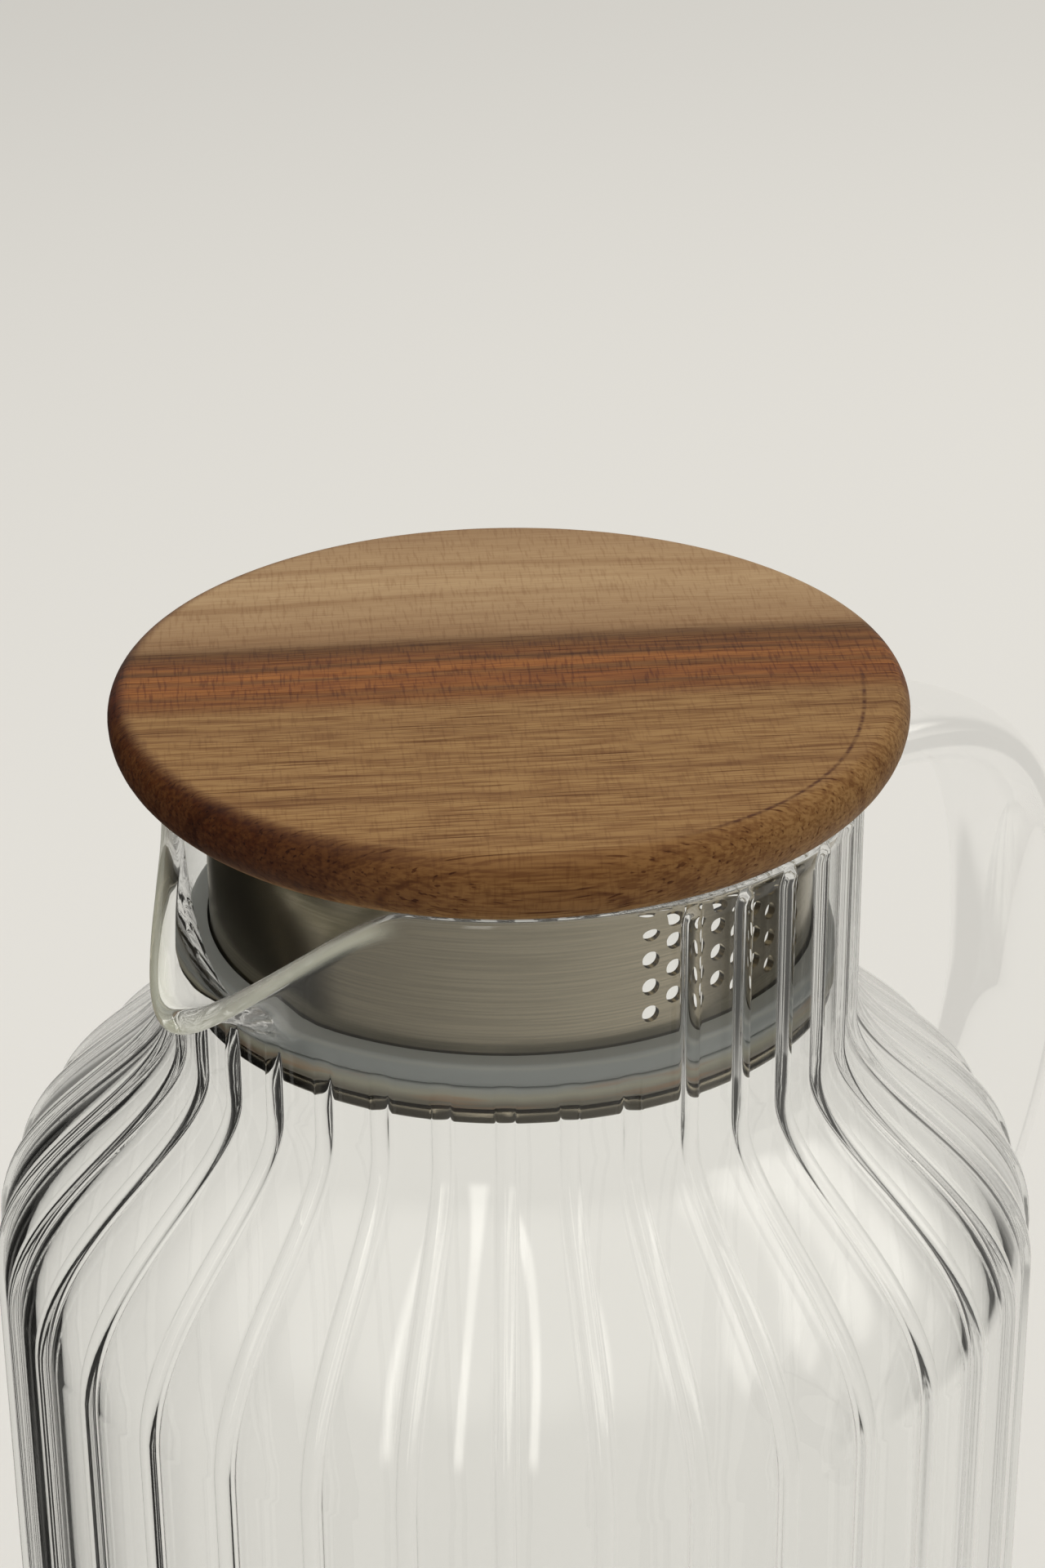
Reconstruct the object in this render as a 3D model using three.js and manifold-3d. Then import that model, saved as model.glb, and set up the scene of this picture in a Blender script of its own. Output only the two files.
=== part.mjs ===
// Ribbed glass pitcher with a pulled spout and a strap handle, closed by a wooden lid.
// Under the lid hangs a perforated steel cup, and a silicone seal on it grips the neck.
// Millimetres, +Z up. The origin is the middle of the base. The spout points to -X, the handle to +X.
import * as THREE from 'three';
import { mergeVertices } from 'three/addons/utils/BufferGeometryUtils.js';
import Module from 'manifold-3d';

const wasm = await Module();
wasm.setup();

// Clearances
const SEAT_GAP = 0.3; // between pieces that rest on or are fixed to each other
const SLIDE_GAP = 0.3; // between the seal and the bore of the neck

// Glass body: radii are those of the smooth panels between the ribs
const WALL = 1.8;
const BASE_THICKNESS = 3;
const BASE_CORNER = 12; // radius between base and side
const BODY_RADIUS = 64.2;
const BODY_HEIGHT = 144.8; // base to the start of the shoulder
const SHOULDER_HEIGHT = 34.2;
const SHOULDER_BEND = 18.2; // pull of the body's direction on the shoulder curve
const NECK_BEND = 10.6; // pull of the neck's direction on the shoulder curve
const NECK_BORE = 39.5; // radius
const NECK_HEIGHT = 30.7;
const RIM_ROUND = 0.8; // height of the rounded rim

// Ribs on the outside of the glass
const RIB_COUNT = 36;
const RIB_WIDTH = 2.4;
const RIB_HEIGHT = 0.7;
const RIB_RUNOUT = 2.5; // length over which a rib dies away at its top
const RIB_TOP_DROP = 1.2; // rim to the top of a rib
const RIB_SPOUT_DROP = 19.7; // rim to the top of a rib under the spout
const RIB_LOW_BEARING = 45; // degrees from the spout within which the ribs stay low
const RIB_HIGH_BEARING = 65; // degrees from the spout past which the ribs run up to the rim

// Spout
const SPOUT_REACH = 10.7; // how far the lip stands out from the neck
const SPOUT_DIP = 13.2; // how far the lip drops below the rim
const SPOUT_DEPTH = 21.7; // rim to the root of the spout
const SPOUT_HALF_ANGLE = 30; // degrees
const SPOUT_NOSE = 0.22; // roundness of the nose, as a share of the half angle
const SPOUT_TAPER = 2; // how quickly the sides draw in from the nose
const SPOUT_SWEEP = 1.6; // how quickly the lip climbs from the nose to the rim
const SPOUT_FLARE = 1.8; // how late the underside turns outwards

// Handle: a flattened glass strap bent like an ear
const HANDLE_WIDTH = 19;
const HANDLE_THICKNESS = 9.3;
const HANDLE_STANDOFF = 33.7; // body to the middle of the strap at its widest
const HANDLE_TOP_DROP = 16.3; // rim to the middle of the upper weld
const HANDLE_WIDEST = 142; // height where the strap stands out most
const HANDLE_FOOT = 81; // height of the middle of the lower weld
const HANDLE_ARM = 46; // pull of the upper arm on the curve
const HANDLE_CROOK = 38; // pull of the upright on the upper curve
const HANDLE_KNEE = 18; // pull of the upright on the lower curve
const HANDLE_HEEL = 11; // pull of the lower arm on the curve
const PAD_SPREAD = 2.5; // melted pads round the ends of the strap
const PAD_DEPTH = 4;

// Wooden lid
const LID_THICKNESS = 10;
const LID_OVERHANG = 5.7; // past the outside of the neck
const LID_TOP_ROUND = 3; // height of the rounded upper edge
const LID_TOP_INSET = 2.2;
const LID_UNDER_INSET = 4.3;

// Steel strainer cup, its hem and its perforations
const STEEL = 0.8;
const CUP_DEPTH = 27.1;
const HEM_HEIGHT = 1.7;
const HEM_INSET = 0.4; // hem to the outside of the seal
const HOLE_DIAMETER = 2.1;
const HOLE_PITCH = 3.45;
const HOLE_ROWS = 4;
const HOLE_COLUMNS = 9;
const HOLE_MARGIN = 3.1; // top of the seal to the middle of the lowest holes
const HOLE_BEARING = -90; // degrees, middle of the perforated patch
const HOLE_OVERCUT = 1.2; // how far a punch passes both faces of the wall

// Silicone seal
const SEAL_THICKNESS = 2.6;
const SEAL_HEIGHT = 5.9;
const SEAL_LIPS = 2;
const SEAL_LIP_DEPTH = 0.9;

// Screws that hold the cup to the lid
const SCREW_COUNT = 3;
const SCREW_INSET = 10.3; // outside of the cup to the screw
const SCREW_BEARING = 30; // degrees, first screw
const SCREW_SHANK = 2.8; // diameter
const SCREW_HEAD = 5.6; // diameter
const SCREW_HEAD_HEIGHT = 1.8;
const SCREW_GRIP = 5.5; // length in the wood
const SCREW_POINT = 1.2; // length of the pointed end

// Facets
const GLASS_FACETS = 72;
const LID_FACETS = 48;
const CUP_FACETS = 60;
const SEAL_FACETS = 48;
const SMALL_FACETS = 12;
const HOLE_FACETS = 8;
const HANDLE_STEPS = 36;
const EDGE_STEPS = 4; // in the quarter or half round of an edge

// Sizes that follow from those above
const neckRadius = NECK_BORE + WALL;
const neckFoot = BODY_HEIGHT + SHOULDER_HEIGHT;
const rimHeight = neckFoot + NECK_HEIGHT;
const spoutRoot = rimHeight - SPOUT_DEPTH;
const spoutHalfAngle = THREE.MathUtils.degToRad(SPOUT_HALF_ANGLE);
const lidUnder = rimHeight + SEAT_GAP;
const lidRadius = neckRadius + LID_OVERHANG;
const sealOuter = NECK_BORE - SLIDE_GAP;
const sealInner = sealOuter - SEAL_THICKNESS;
const cupRadius = sealInner - SEAT_GAP;
const cupTop = -SEAT_GAP; // heights in the lid set are measured from the underside of the wood
const cupCeiling = cupTop - STEEL;
const cupFoot = cupTop - CUP_DEPTH;
const hemTop = cupFoot + HEM_HEIGHT;
const sealBottom = hemTop + SEAT_GAP;
const sealTop = sealBottom + SEAL_HEIGHT;
const screwCircle = cupRadius - SCREW_INSET;
const screwHoleRadius = SCREW_SHANK / 2 + SEAT_GAP;
const screwSeat = cupCeiling - SEAT_GAP;

// Solids and meshes
function solidOf(geometry) {
  const bare = geometry.clone();
  bare.deleteAttribute('normal');
  bare.deleteAttribute('uv');
  const merged = mergeVertices(bare);
  return new wasm.Manifold(new wasm.Mesh({
    numProp: 3,
    vertProperties: new Float32Array(merged.attributes.position.array),
    triVerts: new Uint32Array(merged.index.array),
  }));
}

function pieceOf(solid, name, material) {
  const result = solid.getMesh();
  const geometry = new THREE.BufferGeometry();
  geometry.setAttribute('position', new THREE.BufferAttribute(result.vertProperties, 3));
  geometry.setIndex(new THREE.BufferAttribute(result.triVerts, 1));
  geometry.computeVertexNormals();
  const piece = new THREE.Mesh(geometry, material);
  piece.name = name;
  return piece;
}

function turned(points, facets) {
  const lathe = new THREE.LatheGeometry(points, facets);
  return solidOf(lathe.rotateX(Math.PI / 2));
}

function point(radius, height) {
  return new THREE.Vector2(radius, height);
}

function ellipseArc(radius, height, reach, rise, fromDegrees, toDegrees, steps) {
  const from = THREE.MathUtils.degToRad(fromDegrees);
  const to = THREE.MathUtils.degToRad(toDegrees);
  return new THREE.EllipseCurve(radius, height, reach, rise, from, to, to < from).getPoints(steps);
}

function around(count, firstDegrees) {
  return Array.from({ length: count }, (_, index) => {
    return THREE.MathUtils.degToRad(firstDegrees) + (index * 2 * Math.PI) / count;
  });
}

// Materials
const glass = new THREE.MeshStandardMaterial({
  color: 0xe4e8e2, roughness: 0.04, metalness: 0, transparent: true, opacity: 0.35,
});
const wood = new THREE.MeshStandardMaterial({ color: 0x8a6a48, roughness: 0.55, metalness: 0 });
const steel = new THREE.MeshStandardMaterial({ color: 0xa9a49a, roughness: 0.3, metalness: 1 });
const silicone = new THREE.MeshStandardMaterial({ color: 0x8f9290, roughness: 0.5, metalness: 0 });

// Glass: places on the outer face, each with the outward normal of its own upright section
function place(radius, height, tangentRadius, tangentHeight) {
  const length = Math.hypot(tangentRadius, tangentHeight);
  return { radius, height, out: tangentHeight / length, up: -tangentRadius / length };
}

function placeOn(curve, share) {
  const spot = curve.getPoint(share);
  const tangent = curve.getTangent(share);
  return place(spot.x, spot.y, tangent.x, tangent.y);
}

function pushed(spot, distance) {
  return { ...spot, radius: spot.radius + spot.out * distance, height: spot.height + spot.up * distance };
}

// One at the spout's nose, falling to zero at its sides
function spoutShare(bearing) {
  const side = Math.abs(bearing - Math.PI) / spoutHalfAngle;
  const rounded = Math.hypot(side, SPOUT_NOSE) - SPOUT_NOSE;
  const full = Math.hypot(1, SPOUT_NOSE) - SPOUT_NOSE;
  return Math.max(0, 1 - rounded / full);
}

// The upper neck from the root of the spout, share 0, to the lip, share 1
function neckPlace(share, bearing) {
  const spout = spoutShare(bearing);
  const rise = SPOUT_DEPTH - RIM_ROUND - SPOUT_DIP * spout ** SPOUT_SWEEP;
  const reach = SPOUT_REACH * spout ** SPOUT_TAPER;
  const flare = reach * share ** SPOUT_FLARE;
  const slope = reach * SPOUT_FLARE * share ** (SPOUT_FLARE - 1);
  return place(neckRadius + flare, spoutRoot + rise * share, slope, rise);
}

// How much of its full height a rib has: it dies away at its top, lower down near the spout
function ribShare(height, bearing) {
  const fromSpout = THREE.MathUtils.radToDeg(Math.abs(bearing - Math.PI));
  const free = THREE.MathUtils.smoothstep(fromSpout, RIB_LOW_BEARING, RIB_HIGH_BEARING);
  const top = rimHeight - THREE.MathUtils.lerp(RIB_SPOUT_DROP, RIB_TOP_DROP, free);
  return THREE.MathUtils.clamp((top - height) / RIB_RUNOUT, 0, 1);
}

const cornerCurve = new THREE.EllipseCurve(
  BODY_RADIUS - BASE_CORNER, BASE_CORNER, BASE_CORNER, BASE_CORNER, -Math.PI / 2, 0,
);
const shoulderCurve = new THREE.CubicBezierCurve(
  point(BODY_RADIUS, BODY_HEIGHT),
  point(BODY_RADIUS, BODY_HEIGHT + SHOULDER_BEND),
  point(neckRadius, neckFoot - NECK_BEND),
  point(neckRadius, neckFoot),
);

// Rows of the glass, from the middle of the base up the outside, over the rim and down the inside.
// Each row gives its place at a bearing and the share of the rib height that it carries there.
function glassRows() {
  const outerCorner = [0, 1 / 3, 2 / 3, 1];
  const outerShoulder = [0, 0.2, 0.4, 0.6, 0.8, 1];
  const outerNeck = [0, 0.2, 0.5, 0.8, 0.93, 1];
  const innerNeck = [1, 0.6, 0.3, 0];
  const innerShoulder = [1, 0.75, 0.5, 0.25, 0];
  const innerCorner = [1, 0.5, 0];
  const plain = () => 0;
  const rows = [{ at: () => place(0, 0, 1, 0), rib: plain }];
  for (const share of outerCorner) {
    rows.push({ at: () => placeOn(cornerCurve, share), rib: () => share });
  }
  for (const share of outerShoulder) {
    rows.push({ at: () => placeOn(shoulderCurve, share), rib: () => 1 });
  }
  for (const share of outerNeck) {
    rows.push({ at: (bearing) => neckPlace(share, bearing), rib: ribShare });
  }
  rows.push({
    at: (bearing) => {
      const { radius, height, out, up } = pushed(neckPlace(1, bearing), -WALL / 2);
      return { radius: radius - up * RIM_ROUND, height: height + out * RIM_ROUND, out, up };
    },
    rib: plain,
  });
  for (const share of innerNeck) {
    rows.push({ at: (bearing) => pushed(neckPlace(share, bearing), -WALL), rib: plain });
  }
  for (const share of innerShoulder) {
    rows.push({ at: () => pushed(placeOn(shoulderCurve, share), -WALL), rib: plain });
  }
  for (const share of innerCorner) {
    rows.push({ at: () => pushed(placeOn(cornerCurve, share), -WALL), rib: plain });
  }
  rows.push({ at: () => place(0, BASE_THICKNESS, 1, 0), rib: plain });
  return rows;
}

// Columns of the glass: both feet and the crest of each rib, and the middle of the panels in the spout
function glassColumns() {
  const pitch = (2 * Math.PI) / RIB_COUNT;
  const columns = [];
  for (let rib = 0; rib < RIB_COUNT; rib += 1) {
    const crest = (rib + 0.5) * pitch;
    columns.push({ bearing: crest, side: -1, lift: 0 });
    columns.push({ bearing: crest, side: 0, lift: RIB_HEIGHT });
    columns.push({ bearing: crest, side: 1, lift: 0 });
    const panel = crest + pitch / 2;
    if (Math.abs(panel - Math.PI) < spoutHalfAngle) {
      columns.push({ bearing: panel, side: 0, lift: 0 });
    }
  }
  return columns;
}

function glassBody() {
  const rows = glassRows();
  const columns = glassColumns();
  const profile = rows.map((row) => {
    const spot = row.at(0);
    return point(spot.radius, spot.height);
  });
  const lathe = new THREE.LatheGeometry(profile, columns.length);
  const positions = lathe.attributes.position;
  for (let index = 0; index < positions.count; index += 1) {
    const row = rows[index % rows.length];
    const column = columns[Math.floor(index / rows.length) % columns.length];
    const base = row.at(column.bearing);
    const spread = base.radius > RIB_WIDTH ? (column.side * RIB_WIDTH) / 2 / base.radius : 0;
    const bearing = column.bearing + spread;
    const foot = row.at(bearing);
    const spot = pushed(foot, column.lift * row.rib(foot.height, bearing));
    positions.setXYZ(index, spot.radius * Math.cos(bearing), spot.radius * Math.sin(bearing), spot.height);
  }
  return solidOf(lathe);
}

// Handle: a strap bent in the XZ plane, with a melted pad at each end, trimmed to the glass
function handlePath() {
  const reach = BODY_RADIUS + HANDLE_STANDOFF;
  const top = rimHeight - HANDLE_TOP_DROP;
  const spot = (x, z) => new THREE.Vector3(x, 0, z);
  const path = new THREE.CurvePath();
  path.add(new THREE.CubicBezierCurve3(
    spot(NECK_BORE, top),
    spot(neckRadius + HANDLE_ARM, top),
    spot(reach, HANDLE_WIDEST + HANDLE_CROOK),
    spot(reach, HANDLE_WIDEST),
  ));
  path.add(new THREE.CubicBezierCurve3(
    spot(reach, HANDLE_WIDEST),
    spot(reach, HANDLE_WIDEST - HANDLE_KNEE),
    spot(BODY_RADIUS + HANDLE_HEEL, HANDLE_FOOT),
    spot(BODY_RADIUS - WALL, HANDLE_FOOT),
  ));
  return path;
}

function weldPad(radius, height) {
  const pad = new THREE.SphereGeometry(1, SMALL_FACETS, SMALL_FACETS / 2);
  pad.scale(PAD_DEPTH, HANDLE_WIDTH / 2 + PAD_SPREAD, HANDLE_THICKNESS / 2 + PAD_SPREAD);
  return solidOf(pad.translate(radius, 0, height));
}

function glassHandle() {
  const section = new THREE.Shape();
  section.absellipse(0, 0, HANDLE_WIDTH / 2, HANDLE_THICKNESS / 2, 0, 2 * Math.PI);
  const strap = solidOf(new THREE.ExtrudeGeometry(section, {
    steps: HANDLE_STEPS, curveSegments: SMALL_FACETS / 2, bevelEnabled: false, extrudePath: handlePath(),
  }));
  const clear = RIB_HEIGHT + SEAT_GAP;
  const shoulder = shoulderCurve.getPoints(SMALL_FACETS).map((spot) => point(spot.x + clear, spot.y));
  const jug = turned([
    point(0, 0),
    point(BODY_RADIUS + clear, 0),
    ...shoulder,
    point(neckRadius + clear, rimHeight),
    point(0, rimHeight),
  ], GLASS_FACETS);
  const upperPad = weldPad(neckRadius + clear, rimHeight - HANDLE_TOP_DROP);
  const lowerPad = weldPad(BODY_RADIUS + clear, HANDLE_FOOT);
  return strap.add(upperPad).add(lowerPad).subtract(jug);
}

// Lid set: heights from the underside of the wood
function screwHole(bearing, bottom, top) {
  const cutter = new THREE.CylinderGeometry(screwHoleRadius, screwHoleRadius, top - bottom, SMALL_FACETS);
  cutter.rotateX(Math.PI / 2);
  cutter.translate(screwCircle * Math.cos(bearing), screwCircle * Math.sin(bearing), (top + bottom) / 2);
  return solidOf(cutter);
}

function woodLid() {
  const equator = LID_THICKNESS - LID_TOP_ROUND;
  const underRadius = lidRadius - LID_UNDER_INSET;
  const topRadius = lidRadius - LID_TOP_INSET;
  const underEdge = ellipseArc(underRadius, equator, LID_UNDER_INSET, equator, -90, 0, EDGE_STEPS);
  const topEdge = ellipseArc(topRadius, equator, LID_TOP_INSET, LID_TOP_ROUND, 0, 90, EDGE_STEPS);
  let disc = turned([point(0, 0), ...underEdge, ...topEdge.slice(1), point(0, LID_THICKNESS)], LID_FACETS);
  for (const bearing of around(SCREW_COUNT, SCREW_BEARING)) {
    disc = disc.subtract(screwHole(bearing, -SEAT_GAP, SCREW_GRIP + SEAT_GAP));
  }
  return disc;
}

function perforation(bearing, height) {
  const radius = HOLE_DIAMETER / 2;
  const length = STEEL + 2 * HOLE_OVERCUT;
  const cutter = new THREE.CylinderGeometry(radius, radius, length, HOLE_FACETS);
  cutter.rotateZ(Math.PI / 2);
  cutter.translate(cupRadius - STEEL / 2, 0, height);
  cutter.rotateZ(bearing);
  return solidOf(cutter);
}

// Staggered columns of holes, close packed
function perforations() {
  const step = (HOLE_PITCH * Math.cos(Math.PI / 6)) / cupRadius;
  const first = THREE.MathUtils.degToRad(HOLE_BEARING) - (step * (HOLE_COLUMNS - 1)) / 2;
  const holes = [];
  for (let column = 0; column < HOLE_COLUMNS; column += 1) {
    for (let row = 0; row < HOLE_ROWS; row += 1) {
      const height = sealTop + HOLE_MARGIN + (row + (column % 2) / 2) * HOLE_PITCH;
      holes.push(perforation(first + column * step, height));
    }
  }
  return holes;
}

function strainerCup() {
  const hemRound = HEM_HEIGHT / 2;
  const hemRadius = sealOuter - HEM_INSET;
  let cup = turned([
    point(0, cupCeiling),
    point(cupRadius - STEEL, cupCeiling),
    point(cupRadius - STEEL, cupFoot),
    ...ellipseArc(hemRadius - hemRound, cupFoot + hemRound, hemRound, hemRound, -90, 90, EDGE_STEPS),
    point(cupRadius, hemTop),
    point(cupRadius, cupTop),
    point(0, cupTop),
  ], CUP_FACETS);
  for (const hole of perforations()) {
    cup = cup.subtract(hole);
  }
  for (const bearing of around(SCREW_COUNT, SCREW_BEARING)) {
    cup = cup.subtract(screwHole(bearing, cupCeiling - SEAT_GAP, cupTop + SEAT_GAP));
  }
  return cup;
}

function sealRing() {
  const lipHeight = SEAL_HEIGHT / SEAL_LIPS;
  const groove = sealOuter - SEAL_LIP_DEPTH;
  const outline = [point(sealInner, sealBottom)];
  for (let lip = 0; lip < SEAL_LIPS; lip += 1) {
    const middle = sealBottom + (lip + 0.5) * lipHeight;
    const arc = ellipseArc(groove, middle, SEAL_LIP_DEPTH, lipHeight / 2, -90, 90, EDGE_STEPS);
    outline.push(...(lip === 0 ? arc : arc.slice(1)));
  }
  outline.push(point(sealInner, sealTop));
  outline.push(point(sealInner, sealBottom));
  return turned(outline, SEAL_FACETS);
}

function lidScrew() {
  const shank = SCREW_SHANK / 2;
  const tip = SCREW_GRIP - screwSeat;
  return turned([
    ...ellipseArc(0, 0, SCREW_HEAD / 2, SCREW_HEAD_HEIGHT, -90, 0, EDGE_STEPS),
    point(shank, 0),
    point(shank, tip - SCREW_POINT),
    point(0, tip),
  ], SMALL_FACETS);
}

// Assembly
const jug = new THREE.Group();
jug.add(pieceOf(glassBody(), 'glass_body', glass));
jug.add(pieceOf(glassHandle(), 'glass_handle', glass));

const lidSet = new THREE.Group();
lidSet.position.z = lidUnder;
lidSet.add(pieceOf(woodLid(), 'wood_lid', wood));
lidSet.add(pieceOf(strainerCup(), 'strainer_cup', steel));
lidSet.add(pieceOf(sealRing(), 'seal_ring', silicone));
around(SCREW_COUNT, SCREW_BEARING).forEach((bearing, index) => {
  const screw = pieceOf(lidScrew(), `lid_screw_${index + 1}`, steel);
  screw.position.set(screwCircle * Math.cos(bearing), screwCircle * Math.sin(bearing), screwSeat);
  lidSet.add(screw);
});

const pitcher = new THREE.Group();
pitcher.add(jug, lidSet);

export default pitcher;
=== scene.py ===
"""Looks of a ribbed glass pitcher with a wooden lid, a steel strainer cup and a silicone seal.

Everything is in metres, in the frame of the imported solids: +Z up, -X towards the spout and +X towards
the handle.
"""

import math

import bpy
from mathutils import Matrix, Vector


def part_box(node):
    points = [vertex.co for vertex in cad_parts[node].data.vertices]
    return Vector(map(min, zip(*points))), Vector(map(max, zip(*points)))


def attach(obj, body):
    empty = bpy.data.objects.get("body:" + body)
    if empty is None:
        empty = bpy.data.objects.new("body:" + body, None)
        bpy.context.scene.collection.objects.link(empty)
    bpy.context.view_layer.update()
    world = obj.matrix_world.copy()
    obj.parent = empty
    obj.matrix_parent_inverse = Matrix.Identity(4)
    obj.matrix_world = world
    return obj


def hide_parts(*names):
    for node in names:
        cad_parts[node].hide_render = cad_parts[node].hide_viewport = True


bl_info = {
    "name": "Ribbed Glass Pitcher",
    "version": (1, 0, 0),
    "blender": (4, 5, 0),
    "location": "View3D > Sidebar > Pitcher",
    "description": "Builds the glass, wood, steel and silicone of a ribbed pitcher around its solids",
    "category": "Object",
}

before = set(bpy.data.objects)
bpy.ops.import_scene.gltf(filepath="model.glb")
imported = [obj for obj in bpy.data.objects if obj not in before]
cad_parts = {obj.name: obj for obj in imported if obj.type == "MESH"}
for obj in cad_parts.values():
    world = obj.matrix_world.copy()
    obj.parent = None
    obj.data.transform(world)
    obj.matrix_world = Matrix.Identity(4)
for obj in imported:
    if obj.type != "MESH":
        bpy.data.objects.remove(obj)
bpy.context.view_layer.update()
MM = 0.001
TURN = 2 * math.pi

_, BODY_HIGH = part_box("glass_body")
LID_LOW, LID_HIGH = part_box("wood_lid")
CUP_LOW, CUP_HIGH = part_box("strainer_cup")
SEAL_LOW, SEAL_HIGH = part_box("seal_ring")
SCREW_LOW, SCREW_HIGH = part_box("lid_screw_1")

# Sides of round pieces and holes, and steps along the strap
HOLE_SIDES = 20
SCREW_SIDES = 24
STRAP_SIDES, STRAP_STEPS = 40, 56
FLOOR_SIDES = 96
LID_SIDES = SEAL_SIDES = 192
CUP_SIDES = 240


# Properties

def length(name, description, millimetres):
    """A size, given in millimetres."""
    return bpy.props.FloatProperty(
        name=name, description=description, default=millimetres * MM, precision=5, unit="LENGTH")


def angle(name, description, degrees):
    """An angle, given in degrees."""
    return bpy.props.FloatProperty(
        name=name, description=description, default=math.radians(degrees), subtype="ANGLE")


def number(name, description, default):
    """A plain number."""
    return bpy.props.FloatProperty(name=name, description=description, default=default, precision=3)


def count(name, description, default):
    """A whole number."""
    return bpy.props.IntProperty(name=name, description=description, default=default, min=1)


def linear(red, green, blue):
    """A screen colour of 0 to 255 as the linear colour that shaders take."""
    def channel(value):
        share = value / 255
        return share / 12.92 if share <= 0.04045 else ((share + 0.055) / 1.055) ** 2.4
    return channel(red), channel(green), channel(blue)


def colour(name, description, screen):
    """A colour, given as it looks on a screen."""
    return bpy.props.FloatVectorProperty(
        name=name, description=description, default=linear(*screen), size=3, min=0, max=1, subtype="COLOR")


class GlassSettings(bpy.types.PropertyGroup):
    """Sizes of the blown glass: radii are those of the smooth panels between the ribs."""

    tint: colour("Tint", "Colour of the clear glass", (252, 253, 252))
    shadow_tint: colour("Shadow Tint", "Colour of the light that the glass lets through", (241, 242, 241))
    bending: number("Bending", "Refractive index of the glass", 1.47)
    far_faint: number("Far Faint", "How clear glass behind other glass is drawn, from 0 to 1", 0.97)
    # Painted light: the lip's pale, partly opaque glass stands in for light carried along the thick wall; the
    # green of its tint is the glass's own.
    lip_glow: number("Lip Glow", "Share of milky glass in the lip", 0.55)
    lip_tint: colour("Lip Tint", "Colour of the thick, slightly milky glass of the lip", (226, 228, 212))
    wall: length("Wall", "Thickness of the glass", 1.8)
    base_thickness: length("Base Thickness", "Thickness of the glass under the drink", 3)
    base_corner: length("Base Corner", "Radius between base and side", 12)
    body_radius: length("Body Radius", "Outside of the panels", 64.2)
    body_height: length("Body Height", "Base to the start of the shoulder", 144.8)
    shoulder_height: length("Shoulder Height", "Height of the curved shoulder", 34.2)
    shoulder_bend: length("Shoulder Bend", "Pull of the side on the shoulder's curve", 18.2)
    neck_bend: length("Neck Bend", "Pull of the neck on the shoulder's curve", 10.6)
    neck_radius: length("Neck Radius", "Outside of the neck", 41.3)
    rim_height: length("Rim Height", "Base to the top of the rim", BODY_HIGH.z / MM)
    rim_round: length("Rim Round", "Height of the rounded top of the rim", 1.2)
    rim_bead: length("Rim Bead", "How far the fire-polished rim swells outwards", 0.3)
    lip_bead: length("Lip Bead", "How much further the rim swells at the spout", 1.1)
    bead_height: length("Bead Height", "Height of the swelling below the rim", 2.2)
    rib_count: count("Rib Count", "Upright ribs round the glass", 36)
    rib_width: length("Rib Width", "Width of a rib at its foot", 2.4)
    rib_height: length("Rib Height", "How far a rib of the body stands out", 1.45)
    rib_edge: number("Rib Edge", "0.5 gives a rib a steep foot, 2 a soft one", 0.6)
    flute_depth: length("Flute Depth", "How far the panels fall away towards the ribs", 0.8)
    flute_end: length("Flute End", "Height over which the panels flatten below the neck", 20)
    rib_top_drop: length("Rib Top Drop", "Rim to the round end of a rib", 1.2)
    rib_spout_drop: length("Rib Spout Drop", "Rim to the round end of a rib below the spout", 19.7)
    rib_fade: length("Rib Fade", "Height over which a rib below the spout rises from its end", 7)
    rib_low_bearing: angle("Low Ribs", "Angle from the spout within which ribs end low", 66)
    rib_high_bearing: angle("High Ribs", "Angle from the spout past which ribs reach the rim", 74)
    spout_reach: length("Spout Reach", "How far the lip stands out from the neck", 11)
    spout_dip: length("Spout Dip", "How far the lip drops below the rim", 13.6)
    spout_depth: length("Spout Depth", "Rim to the root of the spout", 21.7)
    spout_half_angle: angle("Spout Half Angle", "Half of the spout's width round the neck", 30)
    spout_nose: number("Spout Nose", "Roundness of the nose as a share of the half angle", 0.22)
    spout_taper: number("Spout Taper", "How quickly the sides draw in from the nose", 2)
    spout_sweep: number("Spout Sweep", "How quickly the lip climbs from the nose to the rim", 1.6)
    spout_flare: number("Spout Flare", "How late the underside turns outwards", 1.8)


class HandleSettings(bpy.types.PropertyGroup):
    """Sizes of the flattened glass strap."""

    width: length("Width", "Width of the strap", 19)
    thickness: length("Thickness", "Thickness of the strap", 9.3)
    standoff: length("Standoff", "Body to the middle of the strap at its widest", 33.7)
    top_drop: length("Top Drop", "Rim to the middle of the upper weld", 16.3)
    widest: length("Widest", "Height where the strap stands out most", 142)
    foot: length("Foot", "Height of the middle of the lower weld", 81)
    arm: length("Arm", "Pull of the upper arm on the curve", 46)
    crook: length("Crook", "Pull of the upright on the upper curve", 38)
    knee: length("Knee", "Pull of the upright on the lower curve", 18)
    heel: length("Heel", "Pull of the lower arm on the curve", 11)
    flatness: number("Flatness", "2 gives the strap an oval section, more gives it flat faces", 2.3)
    weld_spread: length("Weld Spread", "How far the melted ends spread", 1.8)
    weld_length: length("Weld Length", "Length over which the ends spread", 9)
    faint: number("Faint", "How clear the strap is drawn, from 0 to 1", 0.83)


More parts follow.
